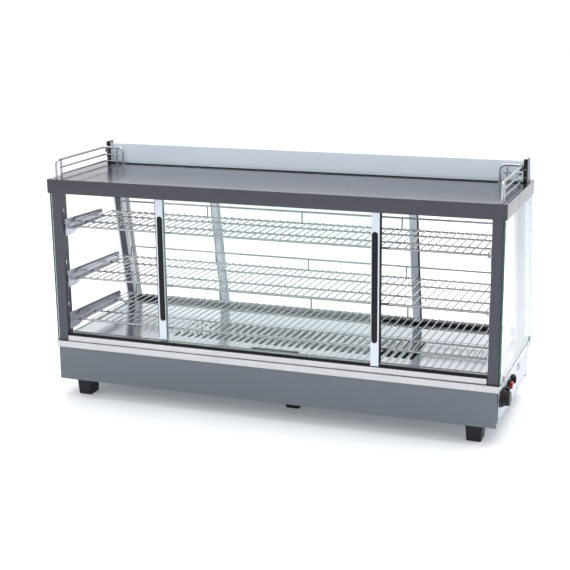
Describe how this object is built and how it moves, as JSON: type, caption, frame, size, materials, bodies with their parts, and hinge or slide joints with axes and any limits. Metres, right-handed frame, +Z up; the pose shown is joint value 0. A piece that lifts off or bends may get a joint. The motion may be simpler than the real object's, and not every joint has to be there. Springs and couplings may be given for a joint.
{
  "type": "hot food display case",
  "caption": "Counter-top heated display case with glass sides, wire shelves, sliding glass doors at front and back, a header panel and roof rails.",
  "frame": {"origin": "centre of the bounding box at the level of the feet soles", "axes": "+X right along the front as the customer sees it, +Y from the front to the sloped rear, +Z up"},
  "size_m": [1.215, 0.442, 0.65],
  "materials": {
    "charcoal_paint": "semi gloss stoved paint",
    "front_panel_paint": "satin grey paint",
    "stainless_sheet": "satin brushed, light wear",
    "chrome_wire": "bright plated wire",
    "clear_glass": "clear float glass with green edges",
    "header_sheet": "pale translucent sheet",
    "door_aluminium": "pale satin anodised extrusion",
    "black_plastic": "moulded satin black",
    "foot_rubber": "matt black",
    "control_plate_paint": "smooth pale blue grey film",
    "red_switch": "glossy translucent red",
    "black_switch": "glossy black",
    "bracket_metal": "satin grey",
    "heater_sheath": "heat darkened steel",
    "thermostat_case": "pressed phenolic"
  },
  "bodies": {
    "case": {"base_front_panel": "front_panel_paint", "base_left_panel": "stainless_sheet", "base_right_panel": "stainless_sheet", "base_rear_panel": "stainless_sheet", "base_bottom_plate": "stainless_sheet", "deck_rim": "stainless_sheet", "front_sill": "stainless_sheet", "rear_sill": "stainless_sheet", "interior_floor": "stainless_sheet", "ceiling_liner": "stainless_sheet", "cable_gland": "black_plastic", "front_lower_track": "black_plastic", "front_upper_track": "black_plastic", "rear_lower_track": "black_plastic", "rear_upper_track": "black_plastic", "front_left_foot": "foot_rubber", "front_right_foot": "foot_rubber", "middle_foot": "foot_rubber", "rear_left_foot": "foot_rubber", "rear_right_foot": "foot_rubber", "heating_element": "heater_sheath", "thermostat_body": "thermostat_case", "control_plate": "control_plate_paint", "front_left_column": "charcoal_paint", "front_right_column": "charcoal_paint", "rear_left_post": "charcoal_paint", "rear_right_post": "charcoal_paint", "top_cover": "charcoal_paint", "left_side_glass": "clear_glass", "right_side_glass": "clear_glass", "header_panel": "header_sheet", "left_header_bracket": "bracket_metal", "right_header_bracket": "bracket_metal", "left_gallery": "chrome_wire", "right_gallery": "chrome_wire", "top_shelf": "chrome_wire", "middle_shelf": "chrome_wire", "bottom_shelf": "chrome_wire", "top_shelf_left_arm": "stainless_sheet", "top_shelf_right_arm": "stainless_sheet", "middle_shelf_left_arm": "stainless_sheet", "middle_shelf_right_arm": "stainless_sheet", "bottom_shelf_left_arm": "stainless_sheet", "bottom_shelf_right_arm": "stainless_sheet"},
    "front_left_door": {"front_left_door_glass": "clear_glass", "front_left_door_stile": "door_aluminium", "front_left_door_handle": "black_plastic"},
    "front_right_door": {"front_right_door_glass": "clear_glass", "front_right_door_stile": "door_aluminium", "front_right_door_handle": "black_plastic"},
    "rear_left_door": {"rear_left_door_glass": "clear_glass", "rear_left_door_stile": "door_aluminium", "rear_left_door_handle": "black_plastic"},
    "rear_right_door": {"rear_right_door_glass": "clear_glass", "rear_right_door_stile": "door_aluminium", "rear_right_door_handle": "black_plastic"},
    "thermostat_dial": {"thermostat_knob": "black_plastic"},
    "light_switch": {"light_switch_rocker": "black_switch"},
    "power_switch": {"power_switch_rocker": "red_switch"},
    "heater_switch": {"heater_switch_rocker": "black_switch"}
  },
  "joints": [
    {"name": "front_right_door_slide", "type": "slide", "parent": "case", "child": "front_right_door", "axis": [1, 0, 0], "range_m": [-0.28, 0.258]},
    {"name": "front_left_door_slide", "type": "slide", "parent": "case", "child": "front_left_door", "axis": [1, 0, 0], "range_m": [-0.252, 0.28]},
    {"name": "rear_left_door_slide", "type": "slide", "parent": "case", "child": "rear_left_door", "axis": [1, 0, 0], "range_m": [-0.252, 0.272]},
    {"name": "rear_right_door_slide", "type": "slide", "parent": "case", "child": "rear_right_door", "axis": [1, 0, 0], "range_m": [-0.28, 0.244]},
    {"name": "thermostat_turn", "type": "hinge", "parent": "case", "child": "thermostat_dial", "pos_m": [0.5975, -0.181, 0.114], "axis": [1, 0, 0], "range_deg": [0, 300]},
    {"name": "light_switch_rock", "type": "hinge", "parent": "case", "child": "light_switch", "pos_m": [0.5903, -0.135, 0.118], "axis": [0, 0, -1], "range_deg": [0, 12]},
    {"name": "power_switch_rock", "type": "hinge", "parent": "case", "child": "power_switch", "pos_m": [0.5903, -0.091, 0.118], "axis": [0, 0, -1], "range_deg": [0, 12]},
    {"name": "heater_switch_rock", "type": "hinge", "parent": "case", "child": "heater_switch", "pos_m": [0.5903, -0.047, 0.118], "axis": [0, 0, -1], "range_deg": [0, 12]}
  ]
}
